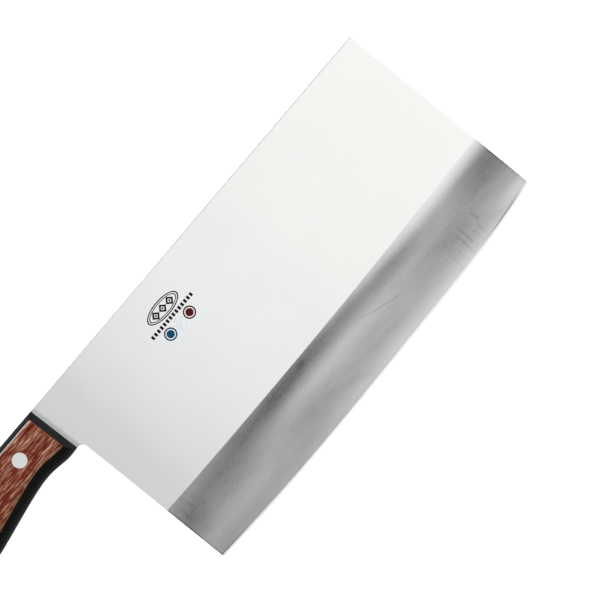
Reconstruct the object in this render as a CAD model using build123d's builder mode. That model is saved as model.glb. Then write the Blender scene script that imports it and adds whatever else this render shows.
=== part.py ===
from build123d import *
import os

from math import cos, hypot, radians, sin

# A broad-bladed kitchen cleaver: one steel blade with a full tang, two laminated handle scales
# (a thick black layer under a thin red-brown veneer) and three two-part cutlery rivets.
#
# The knife lies on its side. +X runs from the handle to the tip, +Y from the cutting edge to the
# spine, and +Z up out of the right cheek of the handle. The origin is at the middle of the overall
# length and depth, on the level of the handle's lower cheek.
#
# A place on the knife is a station along the spine, counted from the front of the handle towards
# the tip, and a depth below the spine.

# Driving dimensions, in millimetres
TIP_STATION = 227.5  # foremost point of the blade, at the front end of the cutting edge
BLADE_DEPTH = 112.5  # spine to the lowest point of the cutting edge
BLADE_THICKNESS = 2.2
TANG_THICKNESS = 2.4  # the tang keeps the thickness of the stock, which the blade is ground down from
HANDLE_LENGTH = 115.0
HANDLE_THICKNESS = 19.0
VENEER_THICKNESS = 0.6

# Blade outline, as (station, depth)
SPINE_TIP = (225.1, 0)
TIP_CORNER = (TIP_STATION, 105.1)
NECK_CORNER = (4.9, 27.6)
HEEL_CORNER = (7.2, 110.8)
NECK_RADIUS = 3.0
SPINE_EDGE_RADIUS = 0.9

# Ground band of the cheeks: (station, depth of its shoulder, depth of the cutting edge)
GRIND = [
    (-4, 77.2, 110.2),
    (25, 77.7, 111.5),
    (75, 77.7, BLADE_DEPTH),
    (130, 77.0, 111.4),
    (180, 75.5, 109.8),
    (210, 74.4, 107.7),
    (234, 73.6, 103.9),
]
HOLLOW = 0.12  # how far the ground band dips below a straight line
BEVEL_HEIGHT = 1.0  # the small bevel that makes the cutting edge
BEVEL_HALF_THICKNESS = 0.2  # half of the blade's thickness where that bevel starts

# Handle outline, from the top front corner round the butt to the bottom front corner:
# station and depth at the tang, then how far in from there the flat of the cheek lies
HANDLE_OUTLINE = [
    (-22, 0.5, 0, 3.5),
    (-48, 1.6, 0, 3.5),
    (-75, 4.7, 0.3, 3.4),
    (-98, 8.9, 1.0, 3.2),
    (-109, 13.0, 4.0, 3.5),
    (-HANDLE_LENGTH, 23.8, 6.0, -1.4),
    (-112.6, 31.8, 6.4, -6.0),
    (-106, 35, 4.0, -8.3),
    (-94, 33.6, 1.5, -8.4),
    (-74, 34, 0, -8.4),
    (-56, 32.3, -1.0, -8.3),
    (-38, 29.0, -1.4, -8.4),
    (-26, 27.0, -0.6, -8.7),
    (-16, 26.3, 0, -9.0),
    (-10, 27.0, 0, -9.1),
    (-5, 27.8, 0, -9.2),
    (1.6, 27.6, 0, -9.2),
    (7, 27.1, 0, -9.0),
]
HANDLE_FRONT_TOP = (0.3, 0.5)
HANDLE_FRONT_BOTTOM = (1.6, 27.6)
ROUNDING_STEPS = 6  # outlines lofted from the tang to the flat of the cheek
FRONT_LAND = 0.4  # height of the square step before the handle's sloping front
FRONT_SLOPE = 3.5  # how far that front leans back over the rest of the scale

# Cutlery rivets: the stud comes from the right cheek, the sleeve from the left
RIVETS = [("front", -19.8, 11.5), ("middle", -56, 14.7), ("rear", -92, 17.9)]
RIVET_HEAD_RADIUS = 3.6
RIVET_HEAD_HEIGHT = 2.5
SLEEVE_RADIUS = 2.4
SLEEVE_BORE_RADIUS = 1.5
SLEEVE_HOLE_RADIUS = 2.5
TANG_HOLE_RADIUS = 2.6
SLEEVE_END_GAP = 0.2  # between the sleeve's end and the stud's head
STUD_END_GAP = 1.0  # between the stud's end and the bottom of the sleeve's bore

# Levels
MIDDLE = HANDLE_THICKNESS / 2
BLADE_TOP = MIDDLE + BLADE_THICKNESS / 2
BLADE_BOTTOM = MIDDLE - BLADE_THICKNESS / 2
TANG_TOP = MIDDLE + TANG_THICKNESS / 2
TANG_BOTTOM = MIDDLE - TANG_THICKNESS / 2
SCALE_THICKNESS = HANDLE_THICKNESS - TANG_TOP
VENEER_BOTTOM = HANDLE_THICKNESS - VENEER_THICKNESS
MIDDLE_PLANE = Plane.XY.offset(MIDDLE)

# The tang outline's chord lengths pace the outline at every level, so that the levels match point
# for point when they are lofted
TANG_CHORDS = [0]
for start, end in zip(HANDLE_OUTLINE, HANDLE_OUTLINE[1:]):
    TANG_CHORDS.append(TANG_CHORDS[-1] + hypot(end[0] - start[0], end[1] - start[1]))

# Overlaps of the blade's blank and of the shape that grinding takes off it
PAST_EDGE = 2.0  # the blank reaches this far past the deepest edge
PAST_BLANK = 14.0  # the grinding reaches this far past the edge, right through the blank
PAST_SHOULDER = 2.0  # and this far past the shoulder, out in the air
CUTTER_REACH = 3.0  # and this far above the blank


def place(station, depth):
    """Point in the model's XY plane for a station and a depth."""
    return (
        station - (TIP_STATION - HANDLE_LENGTH) / 2,
        BLADE_DEPTH / 2 - depth,
    )


def extend(start, end, depth):
    """Point at a depth on the line through two (station, depth) points."""
    share = (depth - start[1]) / (end[1] - start[1])
    return (start[0] + share * (end[0] - start[0]), depth)


def handle_outline(rounding):
    """Outline of the handle, drawn in from the tang's outline (0) to the flat of the cheek (1)."""
    points = [
        place(station + rounding * along, depth + rounding * down)
        for station, depth, along, down in HANDLE_OUTLINE
    ]
    first_depth, first_down = HANDLE_OUTLINE[0][1], HANDLE_OUTLINE[0][3]
    front_top = place(HANDLE_OUTLINE[-1][0], first_depth + rounding * first_down)
    with BuildSketch() as outline:
        with BuildLine():
            Line(points[-1], front_top)
            Line(front_top, points[0])
            add(Edge.make_spline([Vector(*point) for point in points], parameters=TANG_CHORDS))
        make_face()
    return outline.sketch


def half_thickness(height):
    """Half thickness of the ground band, from the small bevel (0) to the shoulder (1)."""
    straight = BEVEL_HALF_THICKNESS + (BLADE_THICKNESS / 2 - BEVEL_HALF_THICKNESS) * height
    return straight - 4 * HOLLOW * height * (1 - height)


def grind_profile(shoulder_depth, edge_depth):
    """Section of what grinding takes off the right cheek, in the YZ plane."""
    shoulder = BLADE_DEPTH / 2 - shoulder_depth
    edge = BLADE_DEPTH / 2 - edge_depth
    bevel = edge + BEVEL_HEIGHT
    below = edge - PAST_BLANK
    past = 1 + PAST_SHOULDER / (shoulder - bevel)
    with BuildSketch() as profile:
        with BuildLine():
            band = ThreePointArc(
                (bevel, MIDDLE + half_thickness(0)),
                ((bevel + shoulder) / 2, MIDDLE + half_thickness(0.5)),
                (shoulder + PAST_SHOULDER, MIDDLE + half_thickness(past)),
            )
            Polyline(
                band @ 0,
                (below, MIDDLE - BEVEL_HALF_THICKNESS * PAST_BLANK / BEVEL_HEIGHT),
                (below, BLADE_TOP + CUTTER_REACH),
                (shoulder + PAST_SHOULDER, BLADE_TOP + CUTTER_REACH),
                band @ 1,
            )
        make_face()
    return profile.sketch


def front_plane(lean, rise):
    """Plane through the handle's front line that leans back by a length over a rise to the cheek."""
    top = Vector(*place(*HANDLE_FRONT_TOP))
    across = (Vector(*place(*HANDLE_FRONT_BOTTOM)) - top).normalized()
    back = across.cross(Vector(0, 0, 1))
    return Plane(
        top + lean * back + Vector(0, 0, HANDLE_THICKNESS),
        x_dir=across,
        z_dir=across.cross(lean * back + Vector(0, 0, rise)),
    )


def rivet_places(level):
    """Centres of the rivets at a level."""
    return [(*place(station, depth), level) for name, station, depth in RIVETS]


FRONT_PLANE = front_plane(0, SCALE_THICKNESS)
FRONT_SLOPE_PLANE = front_plane(FRONT_SLOPE, SCALE_THICKNESS - FRONT_LAND)

# Blade with its tang

with BuildPart() as right_grind:
    for station, shoulder_depth, edge_depth in GRIND:
        with BuildSketch(Plane.YZ.offset(place(station, 0)[0])):
            add(grind_profile(shoulder_depth, edge_depth))
    loft()

with BuildPart() as blade:
    blank_depth = BLADE_DEPTH + PAST_EDGE
    with BuildSketch(Plane.XY.offset(BLADE_BOTTOM)):
        with BuildLine():
            Polyline(
                place(*HANDLE_FRONT_TOP),
                place(*SPINE_TIP),
                place(*extend(SPINE_TIP, TIP_CORNER, blank_depth)),
                place(*extend(NECK_CORNER, HEEL_CORNER, blank_depth)),
                place(*NECK_CORNER),
                place(*HANDLE_FRONT_BOTTOM),
                close=True,
            )
        make_face()
        fillet(vertices().sort_by_distance(place(*NECK_CORNER))[0], NECK_RADIUS)
    extrude(amount=BLADE_THICKNESS)
    spine = faces().sort_by(Axis.Y)[-1]
    fillet(spine.edges().sort_by(SortBy.LENGTH)[-2:], SPINE_EDGE_RADIUS)
    add(right_grind.part, mode=Mode.SUBTRACT)
    left_grind = mirror(right_grind.part, about=MIDDLE_PLANE, mode=Mode.PRIVATE)
    add(left_grind, mode=Mode.SUBTRACT)
    with BuildSketch(Plane.XY.offset(TANG_BOTTOM)):
        add(handle_outline(0))
        split(bisect_by=FRONT_PLANE)
        with Locations(*rivet_places(0)):
            Circle(TANG_HOLE_RADIUS, mode=Mode.SUBTRACT)
    extrude(amount=TANG_THICKNESS)

# Handle scales: each is shaped and drilled whole, then cut into its two layers

with BuildPart() as scale:
    for step in range(ROUNDING_STEPS):
        angle = radians(90 * step / (ROUNDING_STEPS - 1))
        with BuildSketch(Plane.XY.offset(TANG_TOP + SCALE_THICKNESS * sin(angle))):
            add(handle_outline(1 - cos(angle)))
    loft()
    split(bisect_by=FRONT_PLANE)
    split(bisect_by=FRONT_SLOPE_PLANE)
    with Locations(*rivet_places(HANDLE_THICKNESS)):
        CounterBoreHole(SLEEVE_HOLE_RADIUS, RIVET_HEAD_RADIUS, RIVET_HEAD_HEIGHT)

with BuildPart() as right_scale_core:
    add(scale.part)
    split(bisect_by=Plane.XY.offset(VENEER_BOTTOM), keep=Keep.BOTTOM)

with BuildPart() as right_scale_veneer:
    add(scale.part)
    split(bisect_by=Plane.XY.offset(VENEER_BOTTOM), keep=Keep.TOP)

with BuildPart() as left_scale_core:
    add(mirror(right_scale_core.part, about=MIDDLE_PLANE, mode=Mode.PRIVATE))

with BuildPart() as left_scale_veneer:
    add(mirror(right_scale_veneer.part, about=MIDDLE_PLANE, mode=Mode.PRIVATE))

# Rivets: a stud pressed into a sleeve, each with its head flush in a cheek

pieces = {
    "blade": blade,
    "right_scale_core": right_scale_core,
    "right_scale_veneer": right_scale_veneer,
    "left_scale_core": left_scale_core,
    "left_scale_veneer": left_scale_veneer,
}

for name, station, depth in RIVETS:
    centre = place(station, depth)
    head_top = HANDLE_THICKNESS - RIVET_HEAD_HEIGHT
    sleeve_end = head_top - SLEEVE_END_GAP
    stud_end = RIVET_HEAD_HEIGHT + STUD_END_GAP

    with BuildPart() as stud:
        with BuildSketch(Plane.XY.offset(head_top)):
            with Locations(centre):
                Circle(RIVET_HEAD_RADIUS)
        extrude(amount=RIVET_HEAD_HEIGHT)
        with BuildSketch(Plane.XY.offset(stud_end)):
            with Locations(centre):
                Circle(SLEEVE_BORE_RADIUS)
        extrude(amount=head_top - stud_end)

    with BuildPart() as sleeve:
        with BuildSketch():
            with Locations(centre):
                Circle(RIVET_HEAD_RADIUS)
        extrude(amount=RIVET_HEAD_HEIGHT)
        with BuildSketch(Plane.XY.offset(RIVET_HEAD_HEIGHT)):
            with Locations(centre):
                Circle(SLEEVE_RADIUS)
                Circle(SLEEVE_BORE_RADIUS, mode=Mode.SUBTRACT)
        extrude(amount=sleeve_end - RIVET_HEAD_HEIGHT)

    pieces[f"{name}_rivet_stud"] = stud
    pieces[f"{name}_rivet_sleeve"] = sleeve

os.makedirs("parts", exist_ok=True)
for name, piece in pieces.items():
    piece.part.label = name
    export_step(piece.part, f"parts/{name}.step")
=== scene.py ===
from math import cos, pi, radians, sin

import bmesh
import bpy
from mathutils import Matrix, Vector


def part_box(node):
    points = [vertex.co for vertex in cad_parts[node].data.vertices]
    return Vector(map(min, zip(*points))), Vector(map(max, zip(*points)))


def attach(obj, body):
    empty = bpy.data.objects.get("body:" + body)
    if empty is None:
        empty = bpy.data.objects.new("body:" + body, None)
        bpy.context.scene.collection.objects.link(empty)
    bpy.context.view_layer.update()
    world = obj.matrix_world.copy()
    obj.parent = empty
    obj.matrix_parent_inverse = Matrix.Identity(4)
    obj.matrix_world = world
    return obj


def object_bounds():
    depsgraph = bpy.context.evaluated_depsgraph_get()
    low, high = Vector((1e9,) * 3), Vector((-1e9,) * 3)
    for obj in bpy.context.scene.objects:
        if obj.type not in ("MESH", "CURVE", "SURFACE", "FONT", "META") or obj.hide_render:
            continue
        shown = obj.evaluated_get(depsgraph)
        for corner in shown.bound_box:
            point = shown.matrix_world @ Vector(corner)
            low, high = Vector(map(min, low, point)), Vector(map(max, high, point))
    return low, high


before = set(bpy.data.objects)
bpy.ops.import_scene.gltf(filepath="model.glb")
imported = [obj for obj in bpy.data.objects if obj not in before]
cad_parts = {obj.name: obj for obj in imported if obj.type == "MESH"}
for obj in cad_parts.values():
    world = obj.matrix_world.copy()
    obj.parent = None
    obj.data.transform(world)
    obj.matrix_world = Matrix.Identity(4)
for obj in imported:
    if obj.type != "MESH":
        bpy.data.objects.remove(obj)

# Looks of a kitchen cleaver that lies on its side on a pale floor.
#
# Lengths are in metres where objects are placed. Patterns on the knife are laid out in
# millimetres, as a station (along the spine, from the front of the handle towards the tip),
# a depth (below the spine) and a height (above the floor).

CAD_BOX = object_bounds()
MM = 0.001
BLADE_LENGTH = 227.5  # from the front of the handle to the tip
TIP_X = CAD_BOX[1].x / MM
SPINE_Y = CAD_BOX[1].y / MM
CHEEK_HEIGHT = 10.6  # level of the blade's right cheek
MIDDLE_HEIGHT = CAD_BOX[1].z / 2 / MM

# Lines of the blade and the handle, as (station, depth)
SHOULDER = [  # where the ground band starts
    (-4, 77.2),
    (25, 77.7),
    (75, 77.7),
    (130, 77.0),
    (180, 75.5),
    (210, 74.4),
    (234, 73.6),
]
EDGE = [
    (-4, 110.2),
    (25, 111.5),
    (75, 112.5),
    (130, 111.4),
    (180, 109.8),
    (210, 107.7),
    (234, 103.9),
]
BEVEL_HEIGHT = 1.0
FRONT_LINE = ((0.3, 0.5), (1.6, 27.6))  # front of the handle
HEEL_LINE = ((4.9, 27.6), (7.2, 110.8))
TIP_LINE = ((225.1, 0.0), (227.5, 105.1))


def spot(station, depth, height):
    """Point in metres for a place on the knife."""
    x = TIP_X - BLADE_LENGTH + station
    y = SPINE_Y - depth
    return Vector((x, y, height)) * MM


def linear(red, green, blue):
    """Linear colour for display values from 0 to 255."""
    steps = []
    for value in (red, green, blue):
        share = value / 255
        if share <= 0.04045:
            steps.append(share / 12.92)
        else:
            steps.append(((share + 0.055) / 1.055) ** 2.4)
    return (*steps, 1.0)


class Graph:
    """The nodes of one material, with a short call for each kind that the materials share."""

    def __init__(self, name):
        self.material = bpy.data.materials.new(name)
        self.material.use_nodes = True
        self.tree = self.material.node_tree
        self.shader = self.tree.nodes["Principled BSDF"]

    def node(self, kind, *inputs, **settings):
        """New node with its settings, whose first sockets are fed with the inputs."""
        made = self.tree.nodes.new(kind)
        for key, value in settings.items():
            setattr(made, key, value)
        for socket, value in zip(made.inputs, inputs):
            self.feed(socket, value)
        return made

    def feed(self, socket, value):
        """Sets a socket to a plain value, or links another node's output to it."""
        if isinstance(value, bpy.types.NodeSocket):
            self.tree.links.new(value, socket)
        else:
            socket.default_value = value

    def surface(self, **inputs):
        """Feeds the shader, as in base_color=..., roughness=..., and returns the material."""
        sockets = {socket.name.lower().replace(" ", "_"): socket for socket in self.shader.inputs}
        for key, value in inputs.items():
            self.feed(sockets[key], value)
        return self.material

    def math(self, operation, *values):
        return self.node("ShaderNodeMath", *values, operation=operation).outputs[0]

    def vector(self, operation, *values):
        made = self.node("ShaderNodeVectorMath", *values, operation=operation)
        if operation in ("LENGTH", "DOT_PRODUCT"):
            return made.outputs["Value"]
        return made.outputs["Vector"]

    def add(self, *values):
        total = values[0]
        for value in values[1:]:
            total = self.math("ADD", total, value)
        return total

    def times(self, *values):
        total = values[0]
        for value in values[1:]:
            total = self.math("MULTIPLY", total, value)
        return total

    def place(self):
        """Station, depth and height of the shaded point, in millimetres."""
        source = self.node("ShaderNodeTexCoord").outputs["Object"]
        start = (BLADE_LENGTH - TIP_X, SPINE_Y, 0)
        return self.vector("MULTIPLY_ADD", source, (1 / MM, -1 / MM, 1 / MM), start)

    def split(self, place):
        """Station, depth and height as three numbers."""
        return self.node("ShaderNodeSeparateXYZ", place).outputs

    def noise(self, place, grain, detail=3.0, roughness=0.5, seed=0.0):
        """Noise from 0 to 1 whose features are about as long as grain, in millimetres."""
        scale = tuple(1 / size for size in grain)
        offset = (seed * 17.3, seed * 9.1, seed * 5.7)
        made = self.node("ShaderNodeTexNoise", self.vector("MULTIPLY_ADD", place, scale, offset))
        made.inputs["Scale"].default_value = 1.0
        made.inputs["Detail"].default_value = detail
        made.inputs["Roughness"].default_value = roughness
        return made.outputs["Fac"]

    def span(self, value, low, high, start=0.0, end=1.0):
        """Eases from start to end as value goes from low to high."""
        entries = (value, low, high, start, end)
        made = self.node("ShaderNodeMapRange", *entries, interpolation_type="SMOOTHSTEP")
        return made.outputs[0]

    def patch(self, place, centre, size):
        """Soft oval patch: 1 at its centre, 0 at twice its size from there."""
        away = self.vector("SUBTRACT", place, (*centre, 0))
        flat = self.vector("MULTIPLY", away, (1 / size[0], 1 / size[1], 0))
        return self.span(self.vector("LENGTH", flat), 0, 2, 1, 0)

    def curve(self, value, points):
        """Smooth line through (input, output) points, both in millimetres."""
        low, high = points[0][0], points[-1][0]
        bottom = min(y for x, y in points)
        top = max(y for x, y in points)
        share = self.math("DIVIDE", self.math("SUBTRACT", value, low), high - low)
        shares = [((x - low) / (high - low), (y - bottom) / (top - bottom)) for x, y in points]
        made = self.node("ShaderNodeFloatCurve")
        line = made.mapping.curves[0].points
        for inner in shares[1:-1]:
            line.new(*inner)
        line[0].location = shares[0]
        line[len(line) - 1].location = shares[-1]
        made.mapping.update()
        self.feed(made.inputs["Value"], share)
        return self.math("MULTIPLY_ADD", made.outputs[0], top - bottom, bottom)

    def slope(self, depth, line):
        """Station of a straight edge at a depth; line is its two (station, depth) ends."""
        (start, top), (end, bottom) = line
        rate = (end - start) / (bottom - top)
        return self.math("MULTIPLY_ADD", depth, rate, start - top * rate)

    def scratch(self, place, start, end, width, bow=0.0):
        """Hairline from start to end, bowed sideways in the middle: 1 on it, 0 beside it."""
        fade = 0.2  # share of its length over which each end fades
        run = Vector((*end, 0)) - Vector((*start, 0))
        along = run / run.length_squared
        side = Vector((-run.y, run.x, 0)).normalized()
        away = self.vector("SUBTRACT", place, (*start, 0))
        share = self.vector("DOT_PRODUCT", away, tuple(along))
        left = self.math("SUBTRACT", 1.0, share)
        bend = self.times(share, left, 4 * bow)
        off = self.math("ABSOLUTE", self.add(self.vector("DOT_PRODUCT", away, tuple(side)), bend))
        ends = self.times(self.span(share, 0, fade), self.span(left, 0, fade))
        return self.times(self.span(off, 0, width, 1, 0), ends)

    def ramp(self, value, stops):
        """Colour along a list of (position, colour) stops."""
        made = self.node("ShaderNodeValToRGB", value)
        entries = made.color_ramp.elements
        for index, (position, colour) in enumerate(stops):
            entry = entries[index] if index < 2 else entries.new(position)
            entry.position = position
            entry.color = colour
        return made.outputs["Color"]

    def mix(self, share, first, second):
        """Colour between two: the first at share 0, the second at 1."""
        made = self.node("ShaderNodeMix", share, data_type="RGBA")
        colours = [socket for socket in made.inputs if socket.type == "RGBA"]
        self.feed(colours[0], first)
        self.feed(colours[1], second)
        return made.outputs[2]

    def grey(self, tone, tint=(1.0, 1.0, 1.0)):
        """Colour of a brightness, with a slight tint."""
        shares = [self.times(tone, share) for share in tint]
        return self.node("ShaderNodeCombineColor", *shares).outputs[0]

    def bump(self, height, distance, strength=1.0):
        """Normal of a relief whose height goes from 0 to 1 over a distance in millimetres."""
        made = self.node("ShaderNodeBump")
        made.inputs["Strength"].default_value = strength
        made.inputs["Distance"].default_value = distance * MM
        self.feed(made.inputs["Height"], height)
        return made.outputs["Normal"]


# Steel

CHEEK_TONE = 0.558  # tones are shares of the light that the steel mirrors
BAND_TINT = (0.985, 1.0, 0.992)
RIVET_TINT = (0.985, 0.998, 1.01)
RIVET_RADIUS = 3.6


def cheek_steel():
    """Satin flat of the blade: fine lines along it, faint clouds, specks, hairlines and painted
    shade just in front of the handle.

    It is slightly green near the handle and slightly warm towards the tip.
    """
    graph = Graph("cheek_steel")
    place = graph.place()
    station, depth, _ = graph.split(place)
    clouds = graph.noise(place, (34, 20, 8), detail=3)
    lines = graph.noise(place, (7, 0.16, 0.16), detail=4, roughness=0.65, seed=1)
    specks = graph.noise(place, (0.5, 0.5, 0.5), detail=2, seed=2)
    pits = graph.span(specks, 0.80, 0.86)
    hairlines = graph.add(
        graph.scratch(place, (31, 58), (52, 49), 0.12, 0.6),
        graph.scratch(place, (96, 22), (121, 34), 0.10, -0.8),
        graph.scratch(place, (150, 61), (163, 40), 0.10, 0.5),
        graph.scratch(place, (187, 12), (204, 19), 0.10, 0.3),
    )
    # Painted shade: the steel just in front of the handle is darkened, as if the handle shaded it
    # and was mirrored in it.
    past_front = graph.math("SUBTRACT", station, graph.slope(depth, FRONT_LINE))
    handle_shade = graph.times(
        graph.span(past_front, 1.0, 2.7, 1, 0),
        graph.span(graph.noise(place, (3, 5, 5), detail=3, seed=3), 0.3, 0.6, 0.7, 1.0),
    )
    tone = graph.add(
        CHEEK_TONE,
        graph.times(clouds, 0.03),
        graph.times(lines, 0.02),
        graph.times(graph.patch(place, (66, 40), (34, 60)), 0.026),
        graph.times(graph.patch(place, (19, 30), (6, 60)), -0.018),
        graph.times(graph.patch(place, (205, 40), (34, 60)), -0.013),
        graph.times(pits, -0.006),
        graph.times(hairlines, -0.008),
        graph.times(handle_shade, -0.19),
    )
    red_share = graph.span(station, 95, 140, 0.982, 1.0)
    blue_share = graph.span(station, 95, 140, 0.991, 0.980)
    relief = graph.add(lines, graph.times(hairlines, -0.2), graph.times(pits, -0.2))
    return graph.surface(
        base_color=graph.grey(tone, (red_share, 1.0, blue_share)),
        metallic=1.0,
        roughness=graph.add(0.22, graph.times(clouds, 0.08), graph.times(lines, 0.06)),
        normal=graph.bump(relief, 0.0012, 0.18),
    )


# Painted reflections: the hollow-ground band mirrors darker and lighter parts of the studio,
# painted as its darker base tone and as these patches (one is a spot):
# (station, depth), (half length, half height), change of tone
BAND_TONE = 0.329
BAND_REFLECTIONS = [
    ((92, 81.6), (30, 4.8), -0.210),  # shade under the shoulder
    ((42, 85.7), (23, 6.6), -0.155),
    ((152, 82.8), (25, 4.1), -0.110),
    ((100, 88.4), (43, 5.0), 0.120),  # light stripe along the middle
    ((223, 85.8), (20, 8.1), -0.170),  # dark corner at the tip
    ((185, 94.2), (20, 5.1), -0.085),
    ((11, 88.5), (8, 7.3), -0.100),  # painted shade at the heel
    ((44, 100.8), (34, 3.6), 0.055),
    ((75, 95.4), (16, 12.0), -0.055),
    ((65, 94.0), (13, 3.1), 0.053),
    ((97, 80.2), (2.2, 1.4), -0.050),  # spot
    ((173, 111.0), (84, 5.3), 0.190),  # paler towards the edge
    ((223, 102.5), (10, 2.2), 0.120),
]


def ground_steel():
    """Ground band: coarser lines across the blade, clouded, with streaks and scratches, and
    painted reflections of the studio as darker and lighter patches.
    """
    graph = Graph("ground_steel")
    place = graph.place()
    station, depth, _ = graph.split(place)
    below_shoulder = graph.math("SUBTRACT", depth, graph.curve(station, SHOULDER))
    above_edge = graph.math("SUBTRACT", graph.curve(station, EDGE), depth)

    clouds = graph.noise(place, (15, 5, 8), detail=4, roughness=0.55)
    mottle = graph.noise(place, (0.6, 0.6, 2), detail=3, roughness=0.75, seed=3)
    drifts = graph.noise(place, (12, 1.6, 4), detail=4, roughness=0.6, seed=7)
    lines = graph.noise(place, (0.13, 9, 9), detail=4, roughness=0.7, seed=1)
    coarse_lines = graph.noise(place, (0.7, 14, 14), detail=3, roughness=0.6, seed=4)

    # Painted reflections, from the list of patches above.
    tones = [
        graph.times(graph.patch(place, centre, size), change)
        for centre, size, change in BAND_REFLECTIONS
    ]
    # Painted highlight along the shoulder, fading downwards, wider and stronger towards the tip.
    shoulder_highlight_width = graph.span(station, 120, 185, 2.4, 7.9)
    shoulder_highlight = graph.span(graph.math("DIVIDE", below_shoulder, shoulder_highlight_width), 0, 1, 1, 0)
    shoulder_highlight = graph.times(shoulder_highlight, graph.span(station, 90, 214, 0.0, 0.30))
    streaks = graph.times(
        graph.patch(place, (189, 102), (8, 6.0)),
        graph.span(graph.noise(place, (0.34, 14, 9), detail=3, seed=5), 0.42, 0.66),
    )
    # Painted shade at the heel, mottled.
    mottled_heel_shade = graph.times(
        graph.patch(place, (12, 85), (10, 8)),
        graph.span(graph.noise(place, (2.2, 5, 9), detail=4, seed=6), 0.48, 0.68),
    )
    scratches = graph.add(
        graph.scratch(place, (126.5, 85.7), (153.5, 94.7), 0.40, -0.7),
        graph.times(graph.scratch(place, (199.8, 93.6), (200.6, 99.4), 1.2, -0.3), 0.6),
        graph.times(graph.scratch(place, (88, 98), (120, 109), 3.0, 0.8), 0.3),
        graph.times(graph.scratch(place, (190.4, 93.5), (190.0, 105.5), 0.34), 0.7),
        graph.times(graph.scratch(place, (187.6, 96), (187.0, 107), 0.34), 0.4),
        graph.times(graph.scratch(place, (194.8, 100), (194.6, 108), 0.34), 0.5),
        graph.times(graph.scratch(place, (197.6, 99), (197.4, 108), 0.34), 0.5),
        graph.times(graph.scratch(place, (27, 104), (33, 93), 0.2), 0.5),
    )
    # Painted shade: a thin dark line just above the bevel, near the tip and near the heel.
    edge_shade_reach = graph.add(
        graph.times(graph.span(station, 190, 208), graph.span(station, 216, 224, 1, 0)),
        graph.span(station, 14, 30, 1.0, 0.0),
    )
    edge_shade = graph.times(
        graph.span(graph.math("SUBTRACT", above_edge, BEVEL_HEIGHT), 0.15, 0.75, 1, 0),
        edge_shade_reach,
    )
    past_heel = graph.math("SUBTRACT", station, graph.slope(depth, HEEL_LINE))
    before_tip = graph.math("SUBTRACT", graph.slope(depth, TIP_LINE), station)
    corner_shade = graph.add(
        graph.times(graph.span(past_heel, 0.1, 1.2, 1, 0), 0.10),
        graph.times(graph.span(before_tip, 0.1, 1.2, 1, 0), 0.07),
    )
    tone = graph.add(
        BAND_TONE,
        *tones,
        shoulder_highlight,
        graph.times(graph.add(clouds, -0.5), 0.10),
        graph.times(graph.add(mottle, -0.5), 0.17),
        graph.times(graph.add(drifts, -0.5), 0.05),
        graph.times(graph.add(lines, -0.5), 0.04),
        graph.times(graph.add(coarse_lines, -0.5), 0.015),
        graph.times(streaks, -0.07),
        graph.times(mottled_heel_shade, -0.035),
        graph.times(scratches, -0.10),
        graph.times(edge_shade, -0.30),
        graph.times(corner_shade, -1.0),
    )
    relief = graph.add(lines, mottle, graph.times(scratches, -1.0))
    return graph.surface(
        base_color=graph.grey(graph.math("MAXIMUM", tone, 0.04), BAND_TINT),
        metallic=1.0,
        roughness=graph.add(0.34, graph.times(clouds, 0.08), graph.times(lines, 0.08)),
        normal=graph.bump(relief, 0.003, 0.5),
    )


def bevel_steel():
    """Honed bevel along the cutting edge: bright, with fine lines across it."""
    graph = Graph("bevel_steel")
    place = graph.place()
    lines = graph.noise(place, (0.1, 3, 3), detail=4, roughness=0.7)
    waves = graph.noise(place, (9, 3, 3), detail=3, seed=1)
    station, _, _ = graph.split(place)
    along = graph.span(station, 0, BLADE_LENGTH, 0.66, 0.46)
    tone = graph.add(along, graph.times(lines, 0.05), graph.times(waves, 0.07))
    return graph.surface(
        base_color=graph.grey(tone),
        metallic=1.0,
        roughness=graph.add(0.2, graph.times(lines, 0.12)),
        normal=graph.bump(lines, 0.002, 0.4),
    )


def rivet_steel(name, centre):
    """Rivet polished flush with the cheek: fine rings round its centre and small scratches."""
    graph = Graph(name)
    place = graph.place()
    away = graph.vector("SUBTRACT", place, (*centre, 0))
    flat = graph.vector("MULTIPLY", away, (1, 1, 0))
    radius = graph.vector("LENGTH", flat)
    outwards = graph.node("ShaderNodeCombineXYZ", radius).outputs[0]
    rings = graph.noise(outwards, (0.09, 1, 1), detail=3, roughness=0.6)
    wear = graph.noise(place, (2.4, 1.1, 2), detail=4, seed=2)
    nicks = graph.span(graph.noise(place, (0.9, 0.12, 1), detail=2, seed=3), 0.66, 0.74)
    rim = graph.span(radius, RIVET_RADIUS - 0.3, RIVET_RADIUS)
    tone = graph.add(
        0.63,
        graph.times(rings, 0.05),
        graph.times(wear, 0.06),
        graph.times(nicks, -0.07),
        graph.times(rim, -0.10),
    )
    relief = graph.add(rings, graph.times(nicks, -0.8))
    return graph.surface(
        base_color=graph.grey(tone, RIVET_TINT),
        metallic=1.0,
        roughness=graph.add(0.24, graph.times(wear, 0.14)),
        normal=graph.bump(relief, 0.002, 0.5),
    )


# Handle. These levels are distances from the plane through the middle of the tang.

PALE_PLY_TOP = 9.0  # the veneer's lowest ply is pale
ROUNDED_EDGE_TOP = 9.30  # the veneer's edge slopes below this
VENEER_FLAT = 9.46  # and the veneer is flat above this


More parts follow.
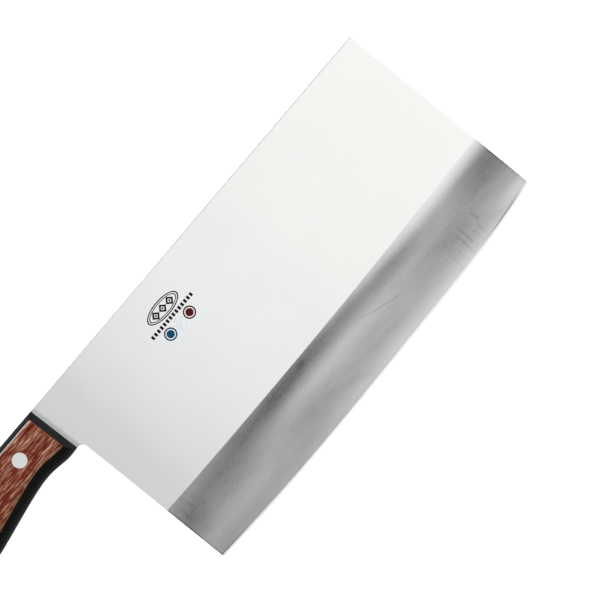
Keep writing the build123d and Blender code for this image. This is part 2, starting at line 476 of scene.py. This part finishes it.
def black_laminate():
    """Black resin-filled laminate: thin plies, fine sanding lines and a soft sheen, with a
    painted sheen towards the floor and painted shade near the spine.
    """
    graph = Graph("black_laminate")
    place = graph.place()
    _, depth, height = graph.split(place)
    plies = graph.noise(place, (30, 30, 0.22), detail=3, roughness=0.6)
    fibres = graph.noise(place, (5, 0.22, 0.22), detail=4, roughness=0.65, seed=1)
    clouds = graph.noise(place, (12, 6, 6), detail=3, seed=2)
    pores = graph.span(graph.noise(place, (1.6, 0.12, 0.12), detail=2, seed=3), 0.66, 0.76)
    from_middle = graph.math("ABSOLUTE", graph.math("SUBTRACT", height, MIDDLE_HEIGHT))
    # Painted sheen: paler towards the floor, as the laminate there would mirror the pale floor.
    painted_sheen = graph.span(from_middle, 1.5, 7.0, 1, 0)
    shade = graph.add(
        graph.times(painted_sheen, 0.16),
        # Painted shade: darker near the spine side.
        graph.times(graph.span(depth, 1.5, 6, 1, 0), -0.12),
        graph.times(plies, 0.35),
        graph.times(fibres, 0.4),
        graph.times(clouds, 0.25),
    )
    colour = graph.ramp(
        shade,
        [
            (0.30, linear(6, 7, 7)),
            (0.52, linear(15, 16, 16)),
            (0.72, linear(31, 31, 30)),
        ],
    )
    relief = graph.add(fibres, graph.times(pores, -0.8))
    return graph.surface(
        base_color=colour,
        roughness=graph.add(0.42, graph.times(fibres, 0.16), graph.times(pores, 0.2)),
        specular_ior_level=0.05,
        normal=graph.bump(relief, 0.02, 0.35),
    )


# Zones of the wood near the blade: (station, depth), (half length, half height), change of shade
WOOD_ZONES = [
    ((-21.5, 4.9), (3.2, 0.6), -0.08),  # dark red flames
    ((-6.5, 5.6), (3.2, 1.2), -0.10),
    ((-13.0, 9.9), (3.0, 0.8), -0.07),
    ((-8.5, 15.1), (5.0, 1.3), -0.13),
    ((-23.0, 18.2), (3.6, 0.9), -0.12),
    ((-16.0, 17.2), (3.4, 1.2), -0.07),
    ((-10.5, 18.4), (2.8, 1.2), 0.07),  # paler wood between them
    ((-15.0, 19.9), (3.8, 0.6), 0.17),
    ((-5.0, 18.6), (3.0, 1.6), 0.05),
    ((-14.0, 6.8), (4.0, 0.4), 0.07),
    ((-8.0, 9.2), (4.0, 0.5), 0.09),
    ((-24.0, 7.6), (2.4, 1.4), 0.06),
]


def red_veneer():
    """Dyed laminated wood: long fibres, dark red flames, tan streaks, pores and a pale ply.

    Its rounded edge along the spine has a pale grey painted highlight.
    """
    graph = Graph("red_veneer")
    place = graph.place()
    station, depth, height = graph.split(place)
    wander = graph.noise(place, (16, 7, 7), detail=2, seed=1)
    lift = graph.times(graph.add(wander, -0.5), 2.0)
    shift = graph.node("ShaderNodeCombineXYZ", 0.0, lift).outputs[0]
    grain = graph.vector("ADD", place, shift)

    bands = graph.noise(grain, (12, 0.9, 0.9), detail=3, roughness=0.6, seed=2)
    fibres = graph.noise(grain, (4.5, 0.32, 0.32), detail=3, roughness=0.6, seed=3)
    streaks = graph.noise(grain, (5.0, 0.40, 0.40), detail=1, roughness=0.5, seed=4)
    pores = graph.noise(grain, (2.4, 0.16, 0.16), detail=2, seed=5)
    zones = [
        graph.times(graph.patch(place, centre, size), change)
        for centre, size, change in WOOD_ZONES
    ]
    shade = graph.add(graph.times(bands, 0.5), graph.times(fibres, 0.5), *zones)
    body = graph.ramp(
        shade,
        [
            (0.38, linear(72, 13, 6)),
            (0.46, linear(84, 24, 15)),
            (0.53, linear(90, 42, 30)),
            (0.62, linear(112, 70, 52)),
        ],
    )
    paler = graph.span(shade, 0.42, 0.56, 0.1, 1.0)
    tan = graph.times(graph.span(streaks, 0.50, 0.64), paler)
    open_pores = graph.span(pores, 0.54, 0.66)
    colour = graph.mix(graph.times(tan, 0.91), body, linear(168, 134, 110))
    colour = graph.mix(graph.times(open_pores, 0.6), colour, linear(44, 9, 6))
    from_middle = graph.math("ABSOLUTE", graph.math("SUBTRACT", height, MIDDLE_HEIGHT))
    pale_ply = graph.span(from_middle, PALE_PLY_TOP, PALE_PLY_TOP + 0.06, 1, 0)
    colour = graph.mix(graph.times(pale_ply, 0.6), colour, linear(118, 94, 66))
    # Painted highlight: the rounded veneer edge along the spine is coloured pale grey.
    edge_highlight = graph.times(
        graph.span(from_middle, ROUNDED_EDGE_TOP, VENEER_FLAT, 1, 0),
        graph.span(depth, 8, 12, 0.88, 0.0),
        graph.span(station, -3.8, -3.2, 1, 0),
    )
    colour = graph.mix(edge_highlight, colour, linear(120, 112, 106))
    relief = graph.add(graph.times(fibres, 0.5), graph.times(open_pores, -1.0))
    return graph.surface(
        base_color=colour,
        roughness=graph.add(0.40, graph.times(fibres, 0.12), graph.times(open_pores, 0.2)),
        specular_ior_level=0.06,
        normal=graph.bump(relief, 0.03, 0.35),
    )


# Printed mark and floor

def ink(name, colour):
    """Screen-printed ink: slightly uneven, worn through to the steel in tiny specks."""
    graph = Graph(name)
    place = graph.place()
    body = graph.noise(place, (1.5, 1.5, 1.5), detail=3)
    worn = graph.span(graph.noise(place, (0.22, 0.22, 0.22), detail=2, seed=1), 0.66, 0.78)
    thin = tuple(0.8 * share + 0.003 for share in colour[:3])
    shade = graph.mix(body, colour, (*thin, 1.0))
    steel = (0.42, 0.43, 0.43, 1.0)
    shade = graph.mix(graph.times(worn, 0.5), shade, steel)
    return graph.surface(
        base_color=shade,
        roughness=graph.add(0.50, graph.times(body, 0.16)),
        specular_ior_level=0.04,
        normal=graph.bump(graph.add(body, graph.times(worn, -1.0)), 0.004, 0.4),
    )


def floor_paper():
    """Pale matt paper with a faint tooth, which glows a little so that it comes out white."""
    graph = Graph("floor_paper")
    place = graph.place()
    tooth = graph.noise(place, (1.2, 1.2, 1.2), detail=3)
    return graph.surface(
        base_color=graph.grey(graph.add(0.93, graph.times(tooth, 0.03))),
        emission_color=(1, 1, 1, 1),
        emission_strength=0.75,
        roughness=0.9,
        specular_ior_level=0.1,
        normal=graph.bump(tooth, 0.05, 0.2),
    )


def dress(node, material):
    """Gives a CAD node one material."""
    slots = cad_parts[node].data.materials
    slots.clear()
    slots.append(material)


GROUND_DEPTH = 72  # every ground face lies deeper than this
BAND_TILT = radians(0.3)  # least tilts of the ground band and of the bevel
BEVEL_TILT = radians(4)
BEVEL_TILT_LIMIT = radians(30)


def dress_blade():
    """Gives the blade's flat, ground band and bevel their own finish, by how far a face tilts."""
    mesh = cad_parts["blade"].data
    mesh.materials.clear()
    for material in (cheek_steel(), ground_steel(), bevel_steel()):
        mesh.materials.append(material)
    ground_top = (SPINE_Y - GROUND_DEPTH) * MM
    for face in mesh.polygons:
        upright = abs(face.normal.z)
        face.material_index = 0
        if face.center.y >= ground_top:
            continue
        if cos(BEVEL_TILT) < upright < cos(BAND_TILT):
            face.material_index = 1
        elif cos(BEVEL_TILT_LIMIT) < upright <= cos(BEVEL_TILT):
            face.material_index = 2


def rivet_centre(node):
    """Station and depth of a rivet's axis."""
    low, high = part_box(node)
    middle = (low + high) / 2 / MM
    return (middle.x + BLADE_LENGTH - TIP_X, SPINE_Y - middle.y)


dress_blade()
black = black_laminate()
red = red_veneer()
for side in ("right", "left"):
    dress(f"{side}_scale_core", black)
    dress(f"{side}_scale_veneer", red)
for rivet in ("front", "middle", "rear"):
    finish = rivet_steel(f"{rivet}_rivet_steel", rivet_centre(f"{rivet}_rivet_stud"))
    dress(f"{rivet}_rivet_stud", finish)
    dress(f"{rivet}_rivet_sleeve", finish)


# Printed mark: a generic pattern of plain shapes on the right cheek

MARK_STATION = 75.2
RING_DEPTH = 15.8
DIAMOND_SPACING = 4.7
BAR_DEPTH = 21.4
BAR_COUNT = 14
BAR_PITCH = 2.03
BAR_HALF_WIDTH = 0.62
BAR_HALF_HEIGHT = 0.95
DISC_DEPTH = 26.3
DISC_SPACING = 6.6
INK_THICKNESS = 0.02
BLACK_INK = ink("black_ink", linear(6, 6, 7))
BLUE_INK = ink("blue_ink", linear(3, 54, 82))
RED_INK = ink("red_ink", linear(62, 11, 12))
PALE_INK = ink("pale_ink", linear(184, 188, 193))


def oval(centre, half_length, half_height, corners=48):
    """Points round an oval on the cheek, as (station, depth)."""
    points = []
    for step in range(corners):
        turn = 2 * pi * step / corners
        points.append((centre[0] + half_length * cos(turn), centre[1] + half_height * sin(turn)))
    return points


def join(made, first, second):
    """Faces between two loops of matching corners."""
    for index in range(len(first)):
        after = (index + 1) % len(first)
        made.faces.new((first[index], first[after], second[after], second[index]))


def print_shapes(name, shapes, material):
    """Thin printed shapes: each is one outline, or the outer and inner outlines of a ring."""
    made = bmesh.new()
    tall = Vector((0, 0, INK_THICKNESS * MM))
    for shape in shapes:
        loops = []
        for outline in shape:
            low = [made.verts.new(spot(*point, CHEEK_HEIGHT)) for point in outline]
            high = [made.verts.new(vertex.co + tall) for vertex in low]
            join(made, low, high)
            loops.append((low, high))
        for level in (0, 1):
            if len(shape) == 2:
                join(made, loops[0][level], loops[1][level])
            else:
                made.faces.new(loops[0][level])
    bmesh.ops.recalc_face_normals(made, faces=made.faces)
    mesh = bpy.data.meshes.new(name)
    made.to_mesh(mesh)
    made.free()
    mesh.materials.append(material)
    piece = bpy.data.objects.new(name, mesh)
    bpy.context.scene.collection.objects.link(piece)
    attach(piece, "root")


def circle(centre, radius):
    return oval(centre, radius, radius)


def diamond(centre, half_size):
    return oval(centre, half_size, half_size, corners=4)


def bar(station):
    """Outline of one upright bar of the row."""
    left, right = station - BAR_HALF_WIDTH, station + BAR_HALF_WIDTH
    top, bottom = BAR_DEPTH - BAR_HALF_HEIGHT, BAR_DEPTH + BAR_HALF_HEIGHT
    return [(left, top), (right, top), (right, bottom), (left, bottom)]


ring_centre = (MARK_STATION, RING_DEPTH)
print_shapes(
    "print_rings",
    [
        [oval(ring_centre, 9.9, 4.05), oval(ring_centre, 9.25, 3.5)],
        [oval(ring_centre, 8.7, 3.1), oval(ring_centre, 8.2, 2.7)],
    ],
    BLACK_INK,
)
diamonds = []
for shift in (-DIAMOND_SPACING, 0, DIAMOND_SPACING):
    centre = (MARK_STATION + shift, RING_DEPTH)
    diamonds.append([diamond(centre, 2.3), diamond(centre, 1.1)])
    diamonds.append([diamond(centre, 0.6)])
print_shapes("print_diamonds", diamonds, BLACK_INK)
first_bar = MARK_STATION - BAR_PITCH * (BAR_COUNT - 1) / 2
bars = [[bar(first_bar + BAR_PITCH * index)] for index in range(BAR_COUNT)]
print_shapes("print_bars", bars, BLACK_INK)
for name, shift, material in (
    ("print_blue_disc", -DISC_SPACING, BLUE_INK),
    ("print_pale_disc", 0, PALE_INK),
    ("print_red_disc", DISC_SPACING, RED_INK),
):
    centre = (MARK_STATION + shift, DISC_DEPTH)
    target = [[circle(centre, 3.1), circle(centre, 2.4)], [circle(centre, 1.9)]]
    print_shapes(name, target, material)


# Studio

def make_floor():
    """Large sheet just under the knife. The steel doesn't mirror it."""
    reach = 6.0
    level = -0.0002
    mesh = bpy.data.meshes.new("floor")
    corners = [(x * reach, y * reach, level) for x, y in ((-1, -1), (1, -1), (1, 1), (-1, 1))]
    mesh.from_pydata(corners, [], [(0, 1, 2, 3)])
    mesh.materials.append(floor_paper())
    floor = bpy.data.objects.new("floor", mesh)
    floor.visible_glossy = False
    bpy.context.scene.collection.objects.link(floor)


def make_light(name, place, target, size, radiance):
    """Soft box that faces its target. Radiance is its brightness as a reflection shows it."""
    data = bpy.data.lights.new(name, "AREA")
    data.shape = "RECTANGLE"
    data.size, data.size_y = size
    data.energy = 4 * radiance * size[0] * size[1]
    light = bpy.data.objects.new(name, data)
    light.location = place
    light.rotation_euler = (Vector(target) - Vector(place)).to_track_quat("-Z", "Y").to_euler()
    light.visible_camera = False
    bpy.context.scene.collection.objects.link(light)
    return light


def make_sky():
    """Dim room light. Below the horizon it is pale, as steel would mirror a pale floor there."""
    world = bpy.data.worlds.new("studio")
    bpy.context.scene.world = world
    world.use_nodes = True
    nodes, links = world.node_tree.nodes, world.node_tree.links
    direction = nodes.new("ShaderNodeTexCoord")
    parts = nodes.new("ShaderNodeSeparateXYZ")
    links.new(direction.outputs["Generated"], parts.inputs[0])
    ramp = nodes.new("ShaderNodeValToRGB")
    links.new(parts.outputs["Z"], ramp.inputs[0])
    below, above = ramp.color_ramp.elements
    below.position = 0.0
    below.color = (0.95, 0.95, 0.95, 1)
    above.position = 0.8
    above.color = (0.35, 0.35, 0.35, 1)
    horizon = ramp.color_ramp.elements.new(0.03)
    horizon.color = (0.30, 0.30, 0.31, 1)
    links.new(ramp.outputs["Color"], nodes["Background"].inputs["Color"])
    nodes["Background"].inputs["Strength"].default_value = 1.0


VIEW_STATION = 118.8  # where the camera's axis meets the blade
VIEW_DEPTH = 61.0
VIEW_TURN = -49.45  # the knife lies this far round in the picture, in degrees
VIEW_WIDTH = 0.2738  # width of the picture at the blade's cheek
LENS = 600.0
SENSOR = 36.0


def make_camera():
    """Square-on view from above the right cheek."""
    data = bpy.data.cameras.new("camera")
    data.lens = LENS
    data.sensor_width = SENSOR
    camera = bpy.data.objects.new("camera", data)
    distance = VIEW_WIDTH * LENS / SENSOR
    camera.location = spot(VIEW_STATION, VIEW_DEPTH, CHEEK_HEIGHT) + Vector((0, 0, distance))
    camera.rotation_euler = (0, 0, radians(VIEW_TURN))
    bpy.context.scene.collection.objects.link(camera)
    bpy.context.scene.camera = camera


make_floor()
make_sky()
make_light("overhead", (0.735, 0.0, 1.2), (0.735, 0.0, 0.0), (1.66, 2.0), 1.1)
fill = make_light("spine_side", (0.0, 1.3, 0.75), (0.0, 0.0, 0.0), (1.8, 0.8), 9.0)
fill.visible_glossy = False  # too bright to be mirrored in the steel
gleam = make_light("spine_gleam", (0.0, 1.4, 0.75), (0.0, 0.0, 0.0), (3.0, 1.4), 0.6)
gleam.visible_diffuse = False  # only there to be mirrored, along the spine
make_camera()
bpy.context.scene.view_settings.view_transform = "Standard"
